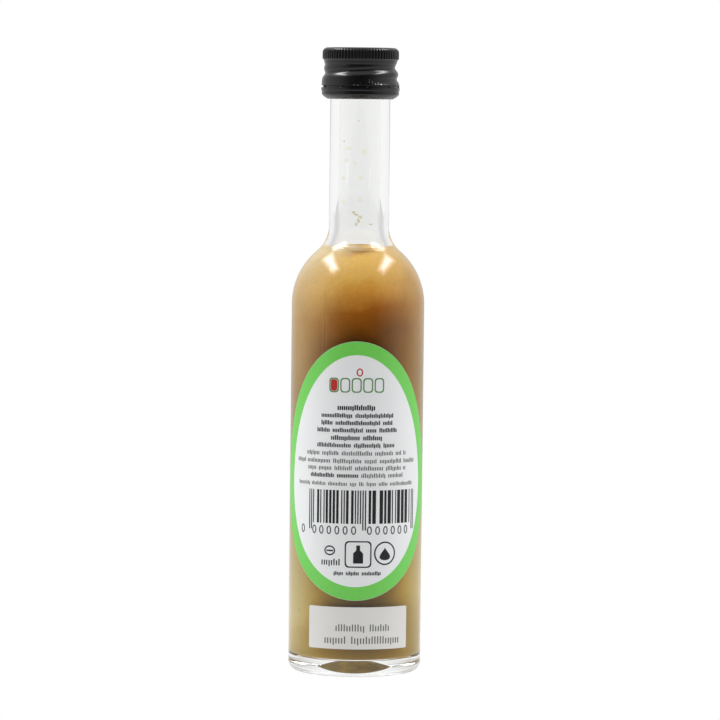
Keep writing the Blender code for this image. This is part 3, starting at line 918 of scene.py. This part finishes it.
def bar_pattern(draw):
    """Random bars and gaps of 1 to 3 modules between three pairs of longer guard bars."""
    module = (BARS_RIGHT - BARS_LEFT) / BAR_MODULES
    boxes = []
    for start in (0, 2, 46, 48, 92, 94):
        x = BARS_LEFT + start * module
        boxes.append((x, x + module, GUARD_LOW, BARS_HIGH))
    for start, end in ((4, 45), (51, 91)):
        x = start
        while x < end:
            wide = min(int(draw.choice((1, 1, 2, 2, 3))), end - x)
            boxes.append((BARS_LEFT + x * module, BARS_LEFT + (x + wide) * module, BARS_LOW, BARS_HIGH))
            x += wide + int(draw.choice((1, 1, 1, 2, 3)))
    return boxes


def oval_row(first, count, spacing):
    """Plain upright ovals in a row, each a ring of ink."""
    places = [(first + k * spacing, 34.35) for k in range(count)]
    return [ring(ellipse(place, 0.58, 1.0, 20), 0.26, steps=1) for place in places]


bars = bar_pattern(draw)
ovals = oval_row(-13.8, 1, 1.8) + oval_row(-10.2, 6, 1.95) + oval_row(3.2, 6, 1.95)

# %% Signs at the foot of the label
def bottle_sign(middle, half_width, half_height):
    """A plain bottle's two sides, a wide foot and a slim neck with a smooth step between."""
    up = np.linspace(-1, 1, 24)
    half = half_width * (0.38 + 0.62 * (1 - smooth_step(up, 0.05, 0.5)))
    return [np.column_stack([middle[0] + side * half, middle[1] + half_height * up]) for side in (-1, 1)]


def drop_sign(middle, half_width, half_height, points=32):
    """A drop: half width * cos t * (1 - sin t) / 1.3 across and half height * sin t up."""
    t = full_turn(points)
    x = half_width * np.cos(t) * (1 - np.sin(t)) / 1.3
    return np.column_stack([middle[0] + x, middle[1] + half_height * np.sin(t)])


signs = [
    ring(ellipse((-6.05, 29.6), 1.35, 1.15), 0.32),
    boxes_on_wall([(-6.9, -5.2, 29.4, 29.75)]),
    ring(rounded_box((0.65, 28.8), 3.1, 3.1, 0.9), 0.3),
    patch(*bottle_sign((0.65, 28.8), 1.15, 2.1), 4),
    ring(ellipse((7.05, 29.0), 2.7, 2.75), 0.34),
    filled(drop_sign((7.05, 28.9), 1.35, 1.5), 6),
]
back_print = joined(boxes_on_wall(strokes + bars), *ovals, *signs)
add_piece("back_label_print", *back_print, black_ink, "label_paper")

# %% [markdown]
# ## Strength scale
#
# Above the lines sits a scale of how hot the sauce is: a row of five rounded fields with green outlines,
# filled up to the sauce's strength, and a red ring over the middle.

# %% Scale of five fields
SCALE_FIELDS, SCALE_FILLED = 5, 1
SCALE_MIDDLE, SCALE_HEIGHT, SCALE_PITCH = -0.1, 68.0, 2.65

outlines, fills = [], []
for k in range(SCALE_FIELDS):
    place_of_field = (SCALE_MIDDLE + (k - (SCALE_FIELDS - 1) / 2) * SCALE_PITCH, SCALE_HEIGHT)
    field = rounded_box(place_of_field, 1.15, 1.7, 0.75, 40)
    outlines.append(ring(field, 0.28))
    if k < SCALE_FILLED:
        fills.append(filled(shrunk(field, 0.36), 3))
fills.append(ring(ellipse((0.6, 71.0), 0.75, 0.95), 0.3))
add_piece("back_scale_outline", *joined(*outlines), dark_green_ink, "label_paper")
add_piece("back_scale_red", *joined(*fills), red_ink, "label_paper")

# %% [markdown]
# ## Lot sticker
#
# A plain upright sticker sits under the oval label, a little to one side, with two faint lines of dot-
# matrix print.

# %% Lot sticker
LOT_MIDDLE, LOT_HALF_WIDTH, LOT_HALF_HEIGHT = (1.05, 11.6), 12.5, 4.9

lot_outline = rounded_box(LOT_MIDDLE, LOT_HALF_WIDTH, LOT_HALF_HEIGHT, 0.25, 160)
lot_sheet = filled(lot_outline, 18, BACK, PAPER)
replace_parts(add_piece("lot_sticker", *lot_sheet, sticker_paper, "label_paper"), "lot_label")
lot_lines = stroke_line(draw, -4.4, 8.5, 10.9, 12.5, 0.42) + stroke_line(draw, -7.1, 11.1, 8.0, 9.7, 0.42)
add_piece("lot_print", *boxes_on_wall(lot_lines), grey_ink, "label_paper")

# %% [markdown]
# ## Front label
#
# The far side has a label of the same shape. Its design is a plain one: a pepper between bands of strokes.

# %% Front label
oval_label("front_label", "front_label", FRONT)


def pepper(middle, length, half_width, bend):
    """From stem to tip the half width follows sqrt(sin(pi t ** 0.75)), and the middle line bends by t * t."""
    t = 0.5 - 0.5 * np.cos(np.linspace(0.06, pi - 0.06, 40))
    half = half_width * np.sqrt(np.sin(pi * t**0.75)) * (1.15 - 0.6 * t)
    x = middle[0] + (t - 0.5) * length
    z = middle[1] + bend * (t - 0.45) ** 2
    return np.column_stack([x, z - half]), np.column_stack([x, z + half])


FRONT_LINES = [
    (-9.5, 9.5, 63.0, 66.6, 0.62), (-12.5, 12.5, 58.6, 60.4, 0.55), (-12.5, 12.5, 42.4, 43.8, 0.5),
    (-9.0, 9.0, 32.0, 33.2, 0.5), (-7.0, 7.0, 28.8, 30.0, 0.5),
]
front_red = [patch(*pepper((0.5, 50.5), 20.0, 3.1, 5.0), 6, FRONT)]
front_green = [filled(ellipse((-10.6, 52.4), 1.5, 1.9), 4, FRONT, INK_OVER)]
front_green.append(boxes_on_wall([(-13.6, -11.6, 52.6, 53.5)], FRONT))
for k in range(SCALE_FIELDS):
    dot = ellipse((-6.4 + 3.2 * k, 37.0), 1.1, 1.1, 24)
    if k < SCALE_FILLED:
        front_red.append(filled(dot, 2, FRONT))
    else:
        front_green.append(ring(dot, 0.3, FRONT))
front_strokes = sum([stroke_line(draw, *line) for line in FRONT_LINES], [])
add_piece("front_label_red", *joined(*front_red), red_ink, "label_paper")
add_piece("front_label_green", *joined(*front_green), green_ink, "label_paper")
add_piece("front_label_print", *boxes_on_wall(front_strokes, FRONT), black_ink, "label_paper")

# %% [markdown]
# ## Light, floor and camera
#
# The bottle stands in a white tent. It is bright behind it and beside it and dark on the camera's side, and
# that dark patch is what gives a black cap and a clear neck their form. Two long strips overhead put the
# small bright wedges on the shoulders, and a flat panel low on the left draws a faint upright line. What is
# seen straight or through the glass is plain white.

# %% Tent
scene = bpy.context.scene
scene.view_settings.view_transform = "Standard"
world = bpy.data.worlds.new("tent")
world.use_nodes = True
scene.world = world
# Turned away from the camera's side by so many degrees, the tent glows this much
TENT = [
    (0, 0.04), (30, 0.085), (52, 0.40), (75, 0.72), (100, 0.76), (134, 0.68), (150, 0.87), (158, 0.95),
    (180, 0.97),
]
OVERHEAD_FROM, OVERHEAD_FULL, OVERHEAD_LEVEL = 0.62, 0.95, 0.9
THROUGH_LEAST = 0.5
# A mirror image of the part straight behind is dimmer, which draws a thin grey line round the glass
EDGE_FROM, EDGE_FULL, EDGE_LEVEL = radians(140), radians(172), 0.55


def tent_glow(tree, axes, rays):
    """The tent's glow by the turn round the bottle, dimmed behind it for mirror images, and their mask."""
    turn = maths(tree, "ARCTAN2", maths(tree, "ABSOLUTE", axes[0]), maths(tree, "MULTIPLY", axes[1], -1.0))
    glow = ramp(tree, maths(tree, "DIVIDE", turn, pi), [(place / 180, grey(level)) for place, level in TENT])
    mirrored = maths(tree, "SUBTRACT", rays["Is Glossy Ray"], rays["Is Transmission Ray"], True)
    behind = maths(tree, "MULTIPLY", mirrored, fit_range(tree, turn, EDGE_FROM, EDGE_FULL))
    return blend_colour(tree, maths(tree, "MULTIPLY", behind, 1.0 - EDGE_LEVEL), glow, grey(0.0)), mirrored


sky = world.node_tree
axes = put(sky, "ShaderNodeSeparateXYZ", {0: put(sky, "ShaderNodeTexCoord").outputs["Generated"]}).outputs
rays = put(sky, "ShaderNodeLightPath").outputs
glow, _ = tent_glow(sky, axes, rays)
upward = fit_range(sky, axes[2], OVERHEAD_FROM, OVERHEAD_FULL)
tent = blend_colour(sky, upward, glow, grey(OVERHEAD_LEVEL))
through = blend_colour(sky, rays["Is Transmission Ray"], grey(0.0), grey(THROUGH_LEAST))
lit = blend_colour(sky, 1.0, tent, through, "LIGHTEN")
seen = blend_colour(sky, rays["Is Camera Ray"], lit, grey(1.0))
fill(sky, sky.nodes["Background"], {"Color": seen, "Strength": 1.0})

# %% Lamps
# Each strip is a stack of six: sides of the brightest and of the dimmest, widest one, and the glow of each
STRIP_PLACE, STRIP_GAP, STRIP_AIM = (0.62, 0.05, 0.95), 0.002, (0, 0.05, 0.09)
STRIP_CORE, STRIP_RIM, STRIP_GLOWS = (0.06, 0.48), (0.32, 1.04), (6.5, 4.8, 3.4, 2.3, 1.5, 1.0)
STRIP_SHARES = {-1: 0.95, 1: 0.75}
# The flat panel's mirror image is the faint upright line on the wall above the label
PANEL_PLACE, PANEL_AIM, PANEL_SIZE, PANEL_POWER = (-1.04, -0.60, 0.017), (0, 0, 0.1), (0.17, 0.032), 0.036


def add_lamp(name, place, aim_at, upright, size, power):
    """A rectangular lamp turned to a point, with its second side as near to upright as that allows."""
    aim = (Vector(aim_at) - Vector(place)).normalized()
    right = aim.cross(Vector(upright)).normalized()
    light = bpy.data.lights.new(name, "AREA")
    light.shape = "RECTANGLE"
    light.size, light.size_y = size
    light.energy = power
    lamp = bpy.data.objects.new(name, light)
    facing = Matrix((right, right.cross(aim), -aim)).transposed().to_4x4()
    lamp.matrix_world = Matrix.Translation(Vector(place)) @ facing
    lamp.visible_camera = False
    scene.collection.objects.link(lamp)


for side, share in STRIP_SHARES.items():
    for rank, strip_glow in enumerate(STRIP_GLOWS):
        place = (side * (STRIP_PLACE[0] + STRIP_GAP * rank), STRIP_PLACE[1], STRIP_PLACE[2])
        step = rank / (len(STRIP_GLOWS) - 1)
        size = [core + (rim - core) * step for core, rim in zip(STRIP_CORE, STRIP_RIM)]
        power = pi * size[0] * size[1] * strip_glow * share
        add_lamp("overhead_strip", place, STRIP_AIM, (0, 1, 0), size, power)
add_lamp("low_panel", PANEL_PLACE, PANEL_AIM, (0, 0, 1), PANEL_SIZE, PANEL_POWER)

# %% Floor
FLOOR_FRONT, FLOOR_BACK, FLOOR_SIDE, FLOOR_DROP = -0.72, 2.5, 2.0, 0.2 * MM
# As a mirror image the floor turns into the tent between these distances, so no horizon shows in the glass
FADE_FROM, FADE_FULL = 0.06, 0.5

floor_mesh = bpy.data.meshes.new("floor")
floor_plan = [(-1, FLOOR_FRONT), (1, FLOOR_FRONT), (1, FLOOR_BACK), (-1, FLOOR_BACK)]
floor_mesh.from_pydata([(side * FLOOR_SIDE, y, -FLOOR_DROP) for side, y in floor_plan], [], [(0, 1, 2, 3)])
floor_finish, ground, floor_shader, place = new_material("pale_floor")
axes = put(ground, "ShaderNodeSeparateXYZ", {0: place}).outputs
glow, mirrored = tent_glow(ground, axes, put(ground, "ShaderNodeLightPath").outputs)
away = put(ground, "ShaderNodeVectorMath", {0: place}, operation="LENGTH").outputs["Value"]
faded = maths(ground, "MULTIPLY", mirrored, fit_range(ground, away, FADE_FROM, FADE_FULL))
fill(ground, floor_shader, {
    "Base Color": grey(0.0), "Specular IOR Level": 0.0,
    "Emission Color": blend_colour(ground, faded, grey(1.0), glow), "Emission Strength": 1.0,
})
floor_mesh.materials.append(floor_finish)
floor = bpy.data.objects.new("floor", floor_mesh)
scene.collection.objects.link(floor)

# %% [markdown]
# The camera stands a metre away with a long lens, a little lower than the cap, and looks down by about
# three degrees. It is rolled by a hair, because the bottle leans to the right in the picture by that much.

# %% Camera
CAMERA_PLACE = Vector((0.0, -1.070, 0.134))
CAMERA_TARGET = Vector((0.0006, 0.0, 0.0730))
CAMERA_ROLL = radians(0.64)
SENSOR, LENS, NEAREST = 36.0, 228.75, 0.05

lens = bpy.data.cameras.new("camera")
lens.sensor_width = SENSOR
lens.lens = LENS
lens.clip_start = NEAREST
camera = bpy.data.objects.new("camera", lens)
turn = (CAMERA_TARGET - CAMERA_PLACE).to_track_quat("-Z", "Y").to_matrix()
turn = turn @ Matrix.Rotation(CAMERA_ROLL, 3, "Z")
camera.matrix_world = Matrix.Translation(CAMERA_PLACE) @ turn.to_4x4()
scene.collection.objects.link(camera)
scene.camera = camera
